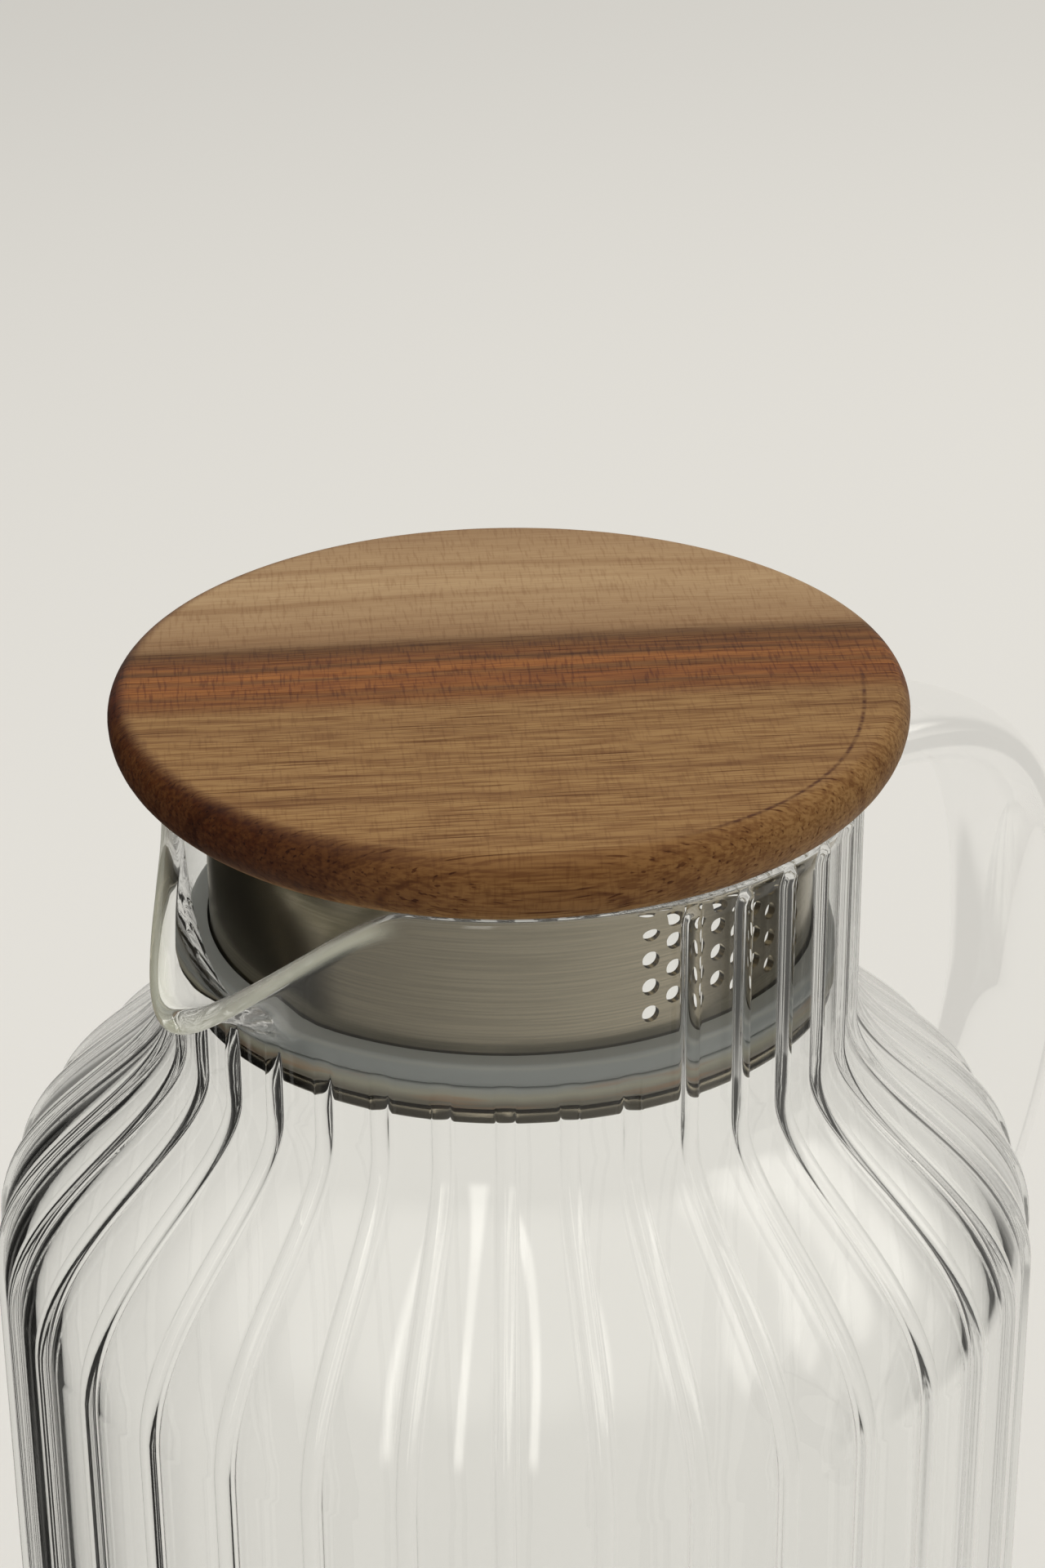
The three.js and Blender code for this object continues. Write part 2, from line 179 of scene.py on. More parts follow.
class LidSettings(bpy.types.PropertyGroup):
    """Sizes and colours of the wooden lid."""

    radius: length("Radius", "Outside of the lid", LID_HIGH.x / MM)
    top_round: length("Top Round", "Height of the rounded upper edge", 3)
    top_inset: length("Top Inset", "Depth of the rounded upper edge", 2.2)
    under_inset: length("Under Inset", "Depth of the rounded lower edge", 8)
    grain_bearing: angle("Grain Bearing", "Direction of the grain", -39)
    pith_depth: length("Pith Depth", "Top of the lid to the middle of the growth rings", 25)
    pith_aside: length("Pith Aside", "Axis of the lid to the middle of the growth rings", 70)
    tan: colour("Tan", "Light wood next to the red band", (154, 122, 87))
    sap: colour("Sapwood", "Lightest wood at the back", (180, 150, 112))
    red: colour("Red Band", "Reddish band across the middle", (132, 83, 36))
    orange: colour("Orange Heart", "Middle of the reddish band", (160, 100, 44))
    line: colour("Band Line", "Dark lines beside the reddish band", (100, 66, 30))
    brown: colour("Heartwood", "Brown wood at the front", (155, 119, 73))
    # Also the colour of the painted shade on the rounded edge.
    shade: colour("Late Wood and Edge Shade", "What darkens rings, flecks and edge", (190, 162, 128))
    # Also deepens the painted shade at the left end of the edge.
    pore_and_shade: colour("Pores and Edge Shade", "What darkens pores and end grain", (150, 112, 78))


class StrainerSettings(bpy.types.PropertyGroup):
    """Sizes and colours of the steel strainer cup."""

    steel: colour("Steel", "Colour of the satin steel", (204, 194, 172))
    sheet: length("Sheet", "Thickness of the steel", 0.8)
    radius: length("Radius", "Outside of the cup", 36.3)
    hem_height: length("Hem Height", "Height of the rolled hem", 1.7)
    top_round: length("Top Round", "Radius of the drawn upper edge", 1.4)
    hole_diameter: length("Hole Diameter", "Diameter of the perforations", 2.1)
    hole_pitch: length("Hole Pitch", "Distance between perforations", 3.45)
    hole_rows: count("Hole Rows", "Perforations in a column", 4)
    hole_columns: count("Hole Columns", "Columns of perforations", 9)
    hole_margin: length("Hole Margin", "Top of the seal to the lowest perforations", 3.1)
    hole_bearing: angle("Hole Bearing", "Middle of the perforated patch", -90)


class SealSettings(bpy.types.PropertyGroup):
    """Sizes and colours of the silicone seal."""

    smoke: colour("Smoke", "Silicone between the lips", (166, 163, 147))
    blue: colour("Blue Smoke", "Silicone of the upper lip", (150, 154, 154))
    amber: colour("Amber", "Warm streaks in the lower lip", (168, 122, 84))
    foot: colour("Brown Smoke", "Silicone of the lower lip", (116, 110, 96))
    ledge: colour("Ledge", "Pale upper edge", (158, 160, 156))
    thickness: length("Thickness", "Thickness of the seal", 2.6)
    lips: count("Lips", "Lips round the seal", 2)
    lip_depth: length("Lip Depth", "Depth of the groove between the lips", 0.9)


class ScrewSettings(bpy.types.PropertyGroup):
    """Sizes of the screws that hold the cup to the lid."""

    screws: count("Screws", "Screws round the cup", 3)
    circle: length("Circle", "Axis of the lid to the screws", 26)
    bearing: angle("Bearing", "Direction of the first screw", 30)
    shank: length("Shank", "Diameter of the threaded shank", 2.8)
    head: length("Head", "Diameter of the head", 5.6)
    head_height: length("Head Height", "Height of the domed head", 1.8)
    thread_pitch: length("Thread Pitch", "Rise of the thread in a turn", 1.1)
    thread_depth: length("Thread Depth", "Depth of the thread", 0.3)
    point: length("Point", "Length of the pointed end", 1.2)
    slot_width: length("Slot Width", "Width of the cross recess", 0.9)
    slot_length: length("Slot Length", "Length of the cross recess", 3)
    slot_depth: length("Slot Depth", "Depth of the cross recess", 1.1)
    wood_play: length("Wood Play", "Gap between a shank and the wood", 0.1)
    steel_play: length("Steel Play", "Gap between a shank and the cup's ceiling", 0.2)
    spin: angle("Spin", "How far each screw is turned past the one before it", 137.5)


class StageSettings(bpy.types.PropertyGroup):
    """Camera, floor and light."""

    lens: bpy.props.FloatProperty(
        name="Lens", description="Focal length on a 36 mm side", default=85, unit="CAMERA")
    distance: length("Distance", "Camera to the middle of the lid", 435.2)
    bearing: angle("Bearing", "Direction in which the camera stands", -133.8)
    elevation: angle("Elevation", "Height of the camera above the horizon", 25.2)
    aim_right: length("Aim Right", "How far right of the lid's middle the camera aims", 1.5)
    aim_down: length("Aim Down", "How far below the lid's middle the camera aims", 10)
    roll: angle("Roll", "Tilt of the camera, right side low", 0.5)
    backdrop: colour("Backdrop", "Colour of the floor and the backdrop", (216, 213, 206))
    matt: colour("Matt Floor", "Colour of the floor where it takes shadows", (240, 240, 240))
    ceiling: number("Ceiling", "Brightness of the ceiling", 1.8)
    strip: number("Strip", "Brightness of the strip light", 4)
    strip_bearing: angle("Strip Bearing", "Direction in which the strip light stands", -144)
    window: number("Window", "Brightness of the window", 2.5)
    floor_radius: length("Floor Radius", "Radius of the round floor", 6000)
    floor_gap: length("Floor Gap", "How far the floor lies below the base", 0.2)
    bounces: count("Bounces", "How often light is followed through the glass", 64)


# Node trees

def math_method(operation, swapped=False):
    """A method of a wire that adds a Math node, with the wire as its first value or as its last."""
    def method(wire, *others):
        values = (*others, wire) if swapped else (wire, *others)
        return wire.graph.math(operation, *values)
    return method


class Wire:
    """A value in a node tree. Operators on it add Math nodes."""

    __add__ = math_method("ADD")
    __radd__ = math_method("ADD", swapped=True)
    __sub__ = math_method("SUBTRACT")
    __rsub__ = math_method("SUBTRACT", swapped=True)
    __mul__ = math_method("MULTIPLY")
    __rmul__ = math_method("MULTIPLY", swapped=True)
    __truediv__ = math_method("DIVIDE")
    __rtruediv__ = math_method("DIVIDE", swapped=True)
    __pow__ = math_method("POWER")
    __abs__ = math_method("ABSOLUTE")
    __gt__ = math_method("GREATER_THAN")
    __lt__ = math_method("LESS_THAN")

    def __init__(self, graph, socket):
        self.graph = graph
        self.socket = socket


class Graph:
    """A node tree, with one method that adds any node to it."""

    def __init__(self, tree):
        self.tree = tree
        tree.nodes.clear()

    def add(self, kind, sockets=None, **settings):
        """A new node with its settings, and the values or links of its sockets."""
        node = self.tree.nodes.new(kind)
        for name, value in settings.items():
            setattr(node, name, value)
        for name, value in (sockets or {}).items():
            self.feed(self.socket_of(node.inputs, name), value)
        return node

    def get(self, kind, sockets=None, output=0, **settings):
        """One output of a new node."""
        node = self.add(kind, sockets, **settings)
        return Wire(self, self.socket_of(node.outputs, output))

    def feed(self, socket, value):
        """Links a socket to a wire or sets its value. A colour without alpha is made opaque."""
        if isinstance(value, Wire):
            self.tree.links.new(value.socket, socket)
        elif socket.type == "RGBA" and len(value) == 3:
            socket.default_value = (*value, 1)
        else:
            socket.default_value = value

    @staticmethod
    def socket_of(sockets, key):
        """A socket by its place or by its name, among those in use."""
        if isinstance(key, int):
            return sockets[key]
        return next(s for s in sockets if s.name == key and s.enabled)

    def math(self, operation, *values):
        """A Math node on its values."""
        return self.get("ShaderNodeMath", dict(enumerate(values)), operation=operation)

    def hypot(self, a, b):
        """The length of a step of a along one axis and b along another."""
        return self.math("SQRT", a * a + b * b)

    def smooth(self, value, low, high, kind="SMOOTHSTEP"):
        """0 below low, 1 above high and an even rise between them."""
        sockets = {"Value": value, "From Min": low, "From Max": high}
        return self.get("ShaderNodeMapRange", sockets, interpolation_type=kind)

    def mix(self, factor, first, second, blend="MIX"):
        """Two colours mixed."""
        sockets = {"Factor": factor, "A": first, "B": second}
        return self.get("ShaderNodeMix", sockets, "Result", data_type="RGBA", blend_type=blend)

    def darken(self, factor, base, shade):
        """A colour multiplied by a shade, as far as the factor says."""
        return self.mix(factor, base, shade, "MULTIPLY")

    def ramp(self, share, stops):
        """A colour that runs through stops, which are pairs of share and colour."""
        node = self.add("ShaderNodeValToRGB", {"Fac": share})
        elements = node.color_ramp.elements
        while len(elements) < len(stops):
            elements.new(1)
        for element, (place, shade) in zip(elements, stops):
            element.position = place
            element.color = (*shade, 1)
        return Wire(self, node.outputs[0])

    def ray(self, name):
        """What a surface knows of the ray that meets it."""
        return self.get("ShaderNodeLightPath", output=name)

    def vector(self, x, y, z):
        """A vector of three values."""
        return self.get("ShaderNodeCombineXYZ", {0: x, 1: y, 2: z})

    def parts(self, vector):
        """The three values of a vector."""
        node = self.add("ShaderNodeSeparateXYZ", {0: vector})
        return [Wire(self, socket) for socket in node.outputs]


def sizes(settings, *names):
    """Inputs of a tree that are named and filled as settings are."""
    return {settings.bl_rna.properties[name].name: getattr(settings, name) for name in names}


class PieceGraph(Graph):
    """Geometry nodes with named inputs, run once on a mesh."""

    KINDS = {float: "NodeSocketFloat", int: "NodeSocketInt"}

    def __init__(self, name, values):
        tree = bpy.data.node_groups.new(name, "GeometryNodeTree")
        super().__init__(tree)
        tree.is_modifier = True
        tree.interface.new_socket("Geometry", in_out="INPUT", socket_type="NodeSocketGeometry")
        tree.interface.new_socket("Geometry", in_out="OUTPUT", socket_type="NodeSocketGeometry")
        self.values = values
        for label, value in values.items():
            tree.interface.new_socket(label, in_out="INPUT", socket_type=self.KINDS[type(value)])
        self.entry = self.add("NodeGroupInput")
        self.mesh = self.input("Geometry")

    def input(self, label):
        """A named input of the tree."""
        return Wire(self, self.socket_of(self.entry.outputs, label))

    def attribute(self, name):
        """A number that the mesh holds at each point."""
        return self.get("GeometryNodeInputNamedAttribute", {"Name": name}, data_type="FLOAT")

    def spot(self, radius, turn, height):
        """A place at a radius, a bearing and a height."""
        return self.vector(radius * self.math("COSINE", turn), radius * self.math("SINE", turn), height)

    def rod(self, radius, depth):
        """An upright round bar, for cutting a hole."""
        return self.get("GeometryNodeMeshCylinder", {
            "Vertices": HOLE_SIDES, "Radius": radius, "Depth": depth})

    def copies(self, piece, count, spot, rotation=(0, 0, 0)):
        """Copies of a piece, at spots that follow from the index of the copy."""
        line = self.get("GeometryNodeMeshLine", {"Count": count})
        points = self.get("GeometryNodeSetPosition", {"Geometry": line, "Position": spot})
        return self.get("GeometryNodeInstanceOnPoints", {
            "Points": points, "Instance": piece, "Rotation": rotation})

    def cut(self, mesh, tool):
        """A mesh with a tool, or copies of one, cut out of it."""
        real = self.get("GeometryNodeRealizeInstances", {"Geometry": tool})
        return self.get("GeometryNodeMeshBoolean", {"Mesh 1": mesh, "Mesh 2": real}, operation="DIFFERENCE")

    def finish(self, geometry, material):
        """Ends the tree with real geometry in one material."""
        real = self.get("GeometryNodeRealizeInstances", {"Geometry": geometry})
        done = self.get("GeometryNodeSetMaterial", {"Geometry": real, "Material": material})
        self.add("NodeGroupOutput", {"Geometry": done})

    def run(self, obj):
        """Gives obj the mesh that the tree makes of it."""
        modifier = obj.modifiers.new(self.tree.name, "NODES")
        modifier.node_group = self.tree
        for item in self.tree.interface.items_tree:
            if item.item_type == "SOCKET" and item.name in self.values:
                modifier[item.identifier] = self.values[item.name]
        depsgraph = bpy.context.evaluated_depsgraph_get()
        mesh = bpy.data.meshes.new_from_object(obj.evaluated_get(depsgraph), depsgraph=depsgraph)
        if not mesh.polygons:
            raise RuntimeError(f"{self.tree.name} made no faces")
        obj.modifiers.remove(modifier)
        obj.data = mesh


# Materials

class Finish(Graph):
    """The node tree of one material, round one Principled shader."""

    def __init__(self, name, constants):
        self.material = bpy.data.materials.new(name)
        self.material.use_nodes = True
        super().__init__(self.material.node_tree)
        self.shader = self.add("ShaderNodeBsdfPrincipled", constants)
        self.surface = Wire(self, self.shader.outputs[0])
        self.output = self.add("ShaderNodeOutputMaterial")
        self.show(self.surface)

    def show(self, shader):
        """Makes a shader the material's surface."""
        self.feed(self.output.inputs["Surface"], shader)

    def blend(self, factor, first, second):
        """Two shaders mixed."""
        return self.get("ShaderNodeMixShader", {0: factor, 1: first, 2: second})

    def set(self, name, value):
        """Feeds one socket of the Principled shader."""
        self.feed(self.shader.inputs[name], value)

    def place(self, turn=0.0, scale=(1, 1, 1)):
        """Object coordinates, turned about Z and scaled."""
        spot = self.get("ShaderNodeTexCoord", output="Object")
        spun = self.get("ShaderNodeMapping", {"Vector": spot, "Rotation": (0, 0, turn)})
        return self.get("ShaderNodeMapping", {"Vector": spun, "Scale": scale})

    def noise(self, spot, detail):
        """Noise with cells of one unit."""
        return self.get("ShaderNodeTexNoise", {"Vector": spot, "Scale": 1.0, "Detail": detail})

    def marks(self, spot, detail, low, high):
        """Marks where noise rises from low to high."""
        return self.smooth(self.noise(spot, detail), low, high)

    def bump(self, height, distance, strength):
        """Relief on the surface."""
        relief = self.get(
            "ShaderNodeBump", {"Height": height, "Distance": distance, "Strength": strength})
        self.set("Normal", relief)


def glass_finish(name, glass, faint):
    """Clear glass, faintly wavy as blown glass is, with a light shadow.

    It is drawn as clear as faint says, and behind other glass it is fainter still and mirrors nothing.
    """
    finish = Finish(name, {"IOR": glass.bending, "Transmission Weight": 1.0, "Base Color": glass.tint})
    ripple = finish.noise(finish.place(scale=(70, 70, 35)), 1)
    finish.bump(ripple, 0.01 * MM, 0.5)
    smear = finish.marks(finish.place(scale=(160, 160, 60)), 3, 0.5, 0.8)
    finish.set("Roughness", 0.012 * smear)
    behind = finish.ray("Transmission Depth") > 1.5
    lip = finish.get("ShaderNodeAttribute", output="Fac", attribute_name="lip")
    # Painted light: pale, partly opaque glass mixed into the lip stands in for light carried along the thick
    # wall; the green of its tint is the glass's own.
    glowing = finish.get("ShaderNodeBsdfPrincipled", {
        "Base Color": glass.lip_tint, "Roughness": 0.1, "IOR": glass.bending})
    bent = finish.get("ShaderNodeBsdfRefraction", {"Roughness": 0.0, "IOR": glass.bending})
    clear = finish.get("ShaderNodeBsdfTransparent")
    shade = finish.get("ShaderNodeBsdfTransparent", {"Color": glass.shadow_tint})
    near = finish.blend(faint, finish.blend(glass.lip_glow * lip, finish.surface, glowing), clear)
    far = finish.blend(glass.far_faint, bent, clear)
    finish.show(finish.blend(finish.ray("Is Shadow Ray"), finish.blend(behind, near, far), shade))
    return finish.material


def wood_finish(lid):
    """Oiled hardwood: sapwood, a reddish band and heartwood, with rings, pores, fibres and cross flecks, and
    painted shade on the rounded edge.
    """
    finish = Finish("oiled_wood", {"Specular IOR Level": 0.2})
    turn = -lid.grain_bearing
    along, across, up = finish.parts(finish.place(turn))
    sway = finish.noise(finish.place(turn, (11, 11, 11)), 1) - 0.5
    depth = up - LID_HIGH.z + lid.pith_depth
    aside = across + lid.pith_aside + 14 * MM * sway
    ring = finish.hypot(aside, depth)

    # Zones across the board, from the front edge to the back
    zone = finish.smooth(across + 5 * MM * sway, -lid.radius, lid.radius, "LINEAR")
    wood = finish.ramp(zone, [
        (0.0, lid.brown), (0.42, lid.brown), (0.455, lid.red), (0.52, lid.orange), (0.575, lid.red),
        (0.605, lid.line), (0.635, lid.tan), (0.8, lid.sap), (1.0, lid.tan)])
    veins = finish.marks(finish.vector(9 * along, 420 * aside, 60 * up), 4, 0.45, 0.65)
    band = finish.smooth(zone, 0.43, 0.48) * (1 - finish.smooth(zone, 0.58, 0.62))
    wood = finish.mix(0.75 * band * veins, wood, lid.line)

    # Growth rings, wide and fine, that bend round the edge of the lid
    wide = finish.marks(finish.vector(6 * along, 330 * ring, 0.0), 3, 0.45, 0.75)
    fine = finish.noise(finish.vector(18 * along, 1500 * ring, 0.0), 2)
    open_grain = 1 - 0.7 * finish.smooth(across, 8 * MM, 14 * MM)
    wood = finish.darken(0.6 * wide, wood, lid.shade)
    wood = finish.darken(0.6 * open_grain * finish.smooth(fine, 0.5, 0.75), wood, lid.shade)

    # Pores and fibres along the grain, and flecks across it
    pores = open_grain * finish.marks(finish.place(turn, (55, 3600, 1800)), 1, 0.62, 0.72)
    flecks = finish.marks(finish.place(turn, (2600, 260, 400)), 1, 0.5, 0.7)
    fibres = open_grain * finish.marks(finish.place(turn, (160, 2600, 2600)), 2, 0.4, 0.65)
    wood = finish.darken(0.8 * pores, wood, lid.pore_and_shade)
    wood = finish.darken((0.3 + 0.45 * band) * flecks, wood, lid.shade)
    wood = finish.darken(0.7 * fibres, wood, lid.shade)

    # The rounded edge with painted shade, darkest at the left end, where the grain is open, and along the
    # front, and light at the right end; and a ring that comes out along it
    out = finish.hypot(along, across) + 0.001 * MM
    to_end, to_back = along / out, across / out
    rim = finish.smooth(out, lid.radius - 2.8 * MM, lid.radius - 0.8 * MM)
    end = 1 - finish.smooth(to_end, -0.75, -0.1)
    front = (1 - finish.smooth(to_back, -0.9, -0.3)) * (1 - 0.7 * finish.smooth(to_end, 0.2, 0.8))
    speck = finish.marks(finish.place(turn, (700, 1100, 900)), 2, 0.4, 0.65)
    # Painted shade on the edge: faint all round, deeper along the front and deepest at the left end.
    wood = finish.darken(rim * (0.05 + 0.6 * front + 0.35 * end), wood, lid.shade)
    # More painted shade at the left end, with pore colour that also shows its open grain; the right end stays
    # light.
    wood = finish.darken(rim * end * (0.85 + 0.15 * speck), wood, lid.pore_and_shade)
    inset = 1.8 * MM + 3.4 * MM * finish.smooth(to_back, -0.95, -0.1) + 3 * MM * sway
    outcrop = 1 - finish.smooth(abs(out - lid.radius + inset), 0.05 * MM, 0.4 * MM)
    outcrop = outcrop * finish.smooth(to_end, 0.25, 0.5) * (1 - finish.smooth(to_back, -0.12, -0.05))
    wood = finish.darken(outcrop * (0.35 + 0.65 * speck), wood, lid.pore_and_shade)
    finish.set("Base Color", wood)
    finish.set("Roughness", 0.5 + 0.15 * fine + 0.2 * pores)
    finish.bump(1 - pores - 0.25 * fine, 0.05 * MM, 0.5)
    return finish.material


def steel_finish(steel, name="brushed_steel"):
    """Satin steel, brushed round the axis and mottled, with painted shade on the hem and just above the seal.
    """
    finish = Finish(name, {"Metallic": 1.0})
    brushed = finish.noise(finish.place(scale=(60, 60, 4500)), 3)
    cloud = finish.noise(finish.place(scale=(70, 70, 40)), 3)
    _, _, up = finish.parts(finish.place())
    # Painted shade: the hem below the seal is nearly black, and the steel just above the seal is darker.
    hem = 1 - finish.smooth(up, SEAL_LOW.z - 0.6 * MM, SEAL_LOW.z)
    foot = 1 - finish.smooth(up, SEAL_HIGH.z, SEAL_HIGH.z + 3 * MM)
    mottle_and_shade = 0.45 * cloud + 0.4 * finish.smooth(brushed, 0.35, 0.65) + 0.7 * foot
    tone = finish.mix(mottle_and_shade, steel, 0.6 * steel)
    finish.set("Base Color", finish.mix(0.9 * hem, tone, 0.15 * steel))
    finish.set("Roughness", 0.16 + 0.1 * brushed + 0.06 * cloud)
    finish.bump(brushed, 0.002 * MM, 0.3)
    return finish.material


def silicone_finish(seal):
    """Smoky translucent silicone: a pale upper edge, a bluish upper lip and a browner lower lip."""
    finish = Finish("smoky_silicone", {"IOR": 1.41, "Transmission Weight": 0.25})
    cloud = finish.noise(finish.place(scale=(120, 120, 400)), 2)
    _, _, up = finish.parts(finish.place())
    share = finish.smooth(up + 0.6 * MM * (cloud - 0.5), SEAL_LOW.z, SEAL_HIGH.z, "LINEAR")
    tone = finish.ramp(share, [
        (0.0, seal.foot), (0.15, seal.foot), (0.33, seal.smoke), (0.5, seal.blue), (0.9, seal.blue),
        (0.94, seal.ledge), (0.98, seal.blue)])
    streak = finish.marks(finish.place(scale=(60, 60, 900)), 2, 0.52, 0.68)
    streak = streak * (1 - finish.smooth(share, 0.4, 0.6))
    finish.set("Base Color", finish.mix(0.45 * streak, tone, seal.amber))
    finish.set("Roughness", 0.3 + 0.15 * cloud)
    return finish.material


# Meshes

def new_piece(name, points, faces):
    """A smooth mesh object at the origin."""
    mesh = bpy.data.meshes.new(name)
    mesh.from_pydata(points, [], faces)
    mesh.validate()
    mesh.shade_smooth()
    obj = bpy.data.objects.new(name, mesh)
    bpy.context.scene.collection.objects.link(obj)
    return obj


def arc(radius, height, reach, rise, start, end, steps):
    """Points of an ellipse's arc in an upright section, from one angle in degrees to another."""
    points = []
    for step in range(steps + 1):
        turn = math.radians(start + (end - start) * step / steps)
        points.append((radius + reach * math.cos(turn), height + rise * math.sin(turn)))
    return points


def ring_of(radius, height, columns):
    """Points of a ring about Z."""
    bearings = [TURN * column / columns for column in range(columns)]
    return [(radius * math.cos(bearing), radius * math.sin(bearing), height) for bearing in bearings]


def band(here, there, columns):
    """Faces between two rings, given the number of the first point of each."""
    faces = []
    for column in range(columns):
        side = (column + 1) % columns
        faces.append((here + column, here + side, there + side, there + column))
    return faces


def turned_faces(rows, columns):
    """Faces of rows of points round an axis. The first and last row are one point each."""
    faces = []
    last = 1 + (rows - 2) * columns
    for column in range(columns):
        side = (column + 1) % columns
        faces.append((0, 1 + side, 1 + column))
        faces.append((last, last - columns + column, last - columns + side))
    for here in range(1, last - columns, columns):
        faces += band(here, here + columns, columns)
    return faces


def turned(name, outline, columns):
    """A solid turned about Z from an outline that runs from the axis, round the outside, to the axis."""
    points = [(0, 0, outline[0][1])]
    for radius, height in outline[1:-1]:
        points += ring_of(radius, height, columns)
    points.append((0, 0, outline[-1][1]))
    return new_piece(name, points, turned_faces(len(outline), columns))


def turned_ring(name, outline, columns):
    """A ring turned about Z from a closed outline that runs anticlockwise."""
    points = []
    faces = []
    for row, (radius, height) in enumerate(outline):
        points += ring_of(radius, height, columns)
        faces += band(row * columns, (row + 1) % len(outline) * columns, columns)
    return new_piece(name, points, faces)


def bezier(points, share):
    """A point on a cubic curve, and its direction."""
    a, b, c, d = (Vector(point) for point in points)
    rest = 1 - share
    spot = rest ** 3 * a + 3 * rest ** 2 * share * b + 3 * rest * share ** 2 * c + share ** 3 * d
    way = 3 * rest ** 2 * (b - a) + 6 * rest * share * (c - b) + 3 * share ** 2 * (d - c)
    return spot, way.normalized()


def finish_piece(obj, body, slot, *nodes, sharp=None):
    """Rides a piece on its body in place of its nodes. Edges past sharp degrees aren't smoothed over."""
    if sharp is not None:
        obj.data.set_sharp_from_angle(angle=math.radians(sharp))
    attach(obj, body)
    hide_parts(*nodes)


# Glass body

def glass_rows(glass):
    """Rows of the glass, from the middle of the base up the outside, over the rim and down the inside.

    A row has the radius and height of the plain section, the section's outward normal, its share of the way
    from the spout's root to the lip, its push along the normal, its rise past the lip, its share of the
    swelling at the rim, its share of the ribs and its share of the flutes, which the inside follows.
    """
    rows = []
    neck_foot = glass.body_height + glass.shoulder_height
    root = glass.rim_height - glass.spout_depth
    climb = glass.spout_depth - glass.rim_round
    corner_middle = glass.body_radius - glass.base_corner
    shoulder = [
        (glass.body_radius, glass.body_height),
        (glass.body_radius, glass.body_height + glass.shoulder_bend),
        (glass.neck_radius, neck_foot - glass.neck_bend),
        (glass.neck_radius, neck_foot),
    ]

    def row(spot, normal, neck=0.0, push=0.0, crown=0.0, bead=0.0, rib=0.0, flute=0.0):
        rows.append((spot[0], spot[1], normal[0], normal[1], neck, push, crown, bead, rib, flute))

    def corner(steps, push, shares, ribbed):
        for step in shares:
            share = step / steps
            turn = math.radians(-90 + 90 * share)
            out, up = math.cos(turn), math.sin(turn)
            spot = (corner_middle + glass.base_corner * out, glass.base_corner * (1 + up))
            row(spot, (out, up), push=push, rib=share if ribbed else 0.0, flute=share)

    def side(steps, push, shares, rib):
        tall = glass.body_height - glass.base_corner
        for step in shares:
            spot = (glass.body_radius, glass.base_corner + tall * step / steps)
            row(spot, (1, 0), push=push, rib=rib, flute=1.0)

    def slope(steps, push, shares, rib):
        for step in shares:
            spot, way = bezier(shoulder, step / steps)
            row(spot, (way.y, -way.x), push=push, rib=rib, flute=1.0)

    def straight(steps, push, shares, rib):
        for step in shares:
            spot = (glass.neck_radius, neck_foot + (root - neck_foot) * step / steps)
            row(spot, (1, 0), push=push, rib=rib)

    def upper(steps, push, shares, rib):
        for step in shares:
            share = step / steps
            ease = max(0.0, 1 - climb * (1 - share) / glass.bead_height)
            bead = rib * ease ** 2 * (3 - 2 * ease)
            row((glass.neck_radius, root + climb * share), (1, 0), share, push, 0.0, bead, rib)

    row((0, 0), (0, -1))
    row((0.5 * corner_middle, 0), (0, -1))
    corner(8, 0, range(9), True)
    side(6, 0, range(1, 7), 1)
    slope(32, 0, range(1, 33), 1)
    straight(8, 0, range(1, 9), 1)
    upper(40, 0, range(1, 41), 1)
    for step in range(1, 8):
        turn = math.pi * step / 8
        over = (1 - math.cos(turn)) / 2
        row((glass.neck_radius, glass.rim_height - glass.rim_round), (1, 0), 1,
            -glass.wall * over, glass.rim_round * math.sin(turn), 1 - over)
    upper(14, -glass.wall, range(14, -1, -1), 0)
    straight(3, -glass.wall, range(2, -1, -1), 0)
    slope(18, -glass.wall, range(17, -1, -1), 0)
    side(2, -glass.wall, range(1, -1, -1), 0)
    corner(6, -glass.wall, range(5, -1, -1), False)
    row((0, glass.base_thickness), (0, 1))
    return rows


# Columns over a rib, in half widths from its crest, and in a panel, in shares of its width
RIB_COLUMNS = (-1.0, -0.9, -0.7, -0.4, 0.0, 0.4, 0.7, 0.9, 1.0)
PANEL_COLUMNS = (0.06, 0.17, 0.3, 0.43, 0.57, 0.7, 0.83, 0.94)


def glass_columns(glass, radius):
    """Bearings of the columns at a radius: close together over each rib, and some in each panel."""
    pitch = TURN / glass.rib_count
    half = glass.rib_width / 2 / max(radius, glass.rib_width * glass.rib_count / 4)
    bearings = []
    for rib in range(glass.rib_count):
        crest = (rib + 0.5) * pitch
        bearings += [crest + half * place for place in RIB_COLUMNS]
        bearings += [crest + half + (pitch - 2 * half) * share for share in PANEL_COLUMNS]
    return bearings


def glass_blank(glass):
    """The plain turned glass, with what the ribs and the spout need to know at each point."""
    rows = glass_rows(glass)
    columns = len(glass_columns(glass, 1))
    points, bearings, notes = [], [], []
    for index, row in enumerate(rows):
        at_pole = index in (0, len(rows) - 1)
        for bearing in glass_columns(glass, row[0])[:1 if at_pole else None]:
            points.append((row[0] * math.cos(bearing), row[0] * math.sin(bearing), row[1]))
            bearings.append(bearing)
            notes.append(row)
    blank = new_piece("glass_body_shape", points, turned_faces(len(rows), columns))
    names = ("plain_radius", "plain_height", "normal_out", "normal_up",
             "neck", "push", "crown", "bead", "rib", "flute")
    for place, name in enumerate(names):
        layer = blank.data.attributes.new(name, "FLOAT", "POINT")
        layer.data.foreach_set("value", [note[place] for note in notes])
    layer = blank.data.attributes.new("bearing", "FLOAT", "POINT")
    layer.data.foreach_set("value", bearings)
    return blank


